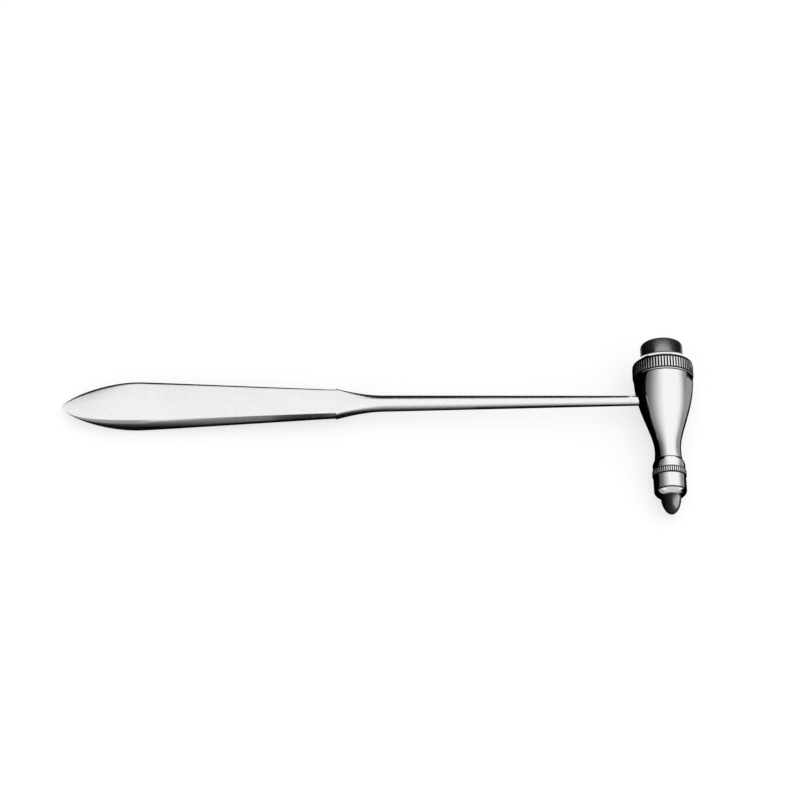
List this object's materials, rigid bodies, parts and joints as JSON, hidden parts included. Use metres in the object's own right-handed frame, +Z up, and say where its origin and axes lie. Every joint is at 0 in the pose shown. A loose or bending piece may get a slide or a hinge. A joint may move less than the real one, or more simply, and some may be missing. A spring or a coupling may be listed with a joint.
{
  "type": "reflex hammer",
  "caption": "Metal reflex hammer: pointed flat grip, slim round shaft and bell-shaped head with a large rubber buffer at one end and a small rubber tip at the other.",
  "frame": {"origin": "centre of the bounding box, on the ground that the hammer lies on", "axes": "+X along the grip towards the head, +Y along the head towards the large buffer, +Z up"},
  "size_m": [0.2448, 0.0714, 0.0239],
  "materials": {
    "satin_steel": "fine satin, brushed along the grip",
    "polished_chrome": "polished bright plating",
    "black_rubber": "smooth moulded, slight sheen"
  },
  "bodies": {
    "hammer": {"handle": "satin_steel", "head_body": "polished_chrome"},
    "buffer": {"striking_buffer": "black_rubber"},
    "ring": {"buffer_ring": "polished_chrome"},
    "tip": {"tip_rubber": "black_rubber"},
    "nut": {"tip_nut": "polished_chrome"}
  },
  "joints": [
    {"name": "ring_turn", "type": "hinge", "parent": "buffer", "child": "ring", "pos_m": [0.11059, 0.02843, 0.01256], "axis": [0, 0.9933, 0.1153], "range_deg": [0, 1584]},
    {"name": "buffer_lift", "type": "slide", "parent": "hammer", "child": "buffer", "axis": [0, 0.9933, 0.1153], "range_m": [0, 0.0044]},
    {"name": "nut_turn", "type": "hinge", "parent": "tip", "child": "nut", "pos_m": [0.11059, -0.02833, 0.00597], "axis": [0, -0.9933, -0.1153], "range_deg": [0, 2016]},
    {"name": "tip_lift", "type": "slide", "parent": "hammer", "child": "tip", "axis": [0, -0.9933, -0.1153], "range_m": [0, 0.0056]}
  ],
  "couplings": [
    {"joint": "buffer_lift", "follows": "ring_turn", "m_per_rad": 0.00015915},
    {"joint": "tip_lift", "follows": "nut_turn", "m_per_rad": 0.00015915}
  ]
}
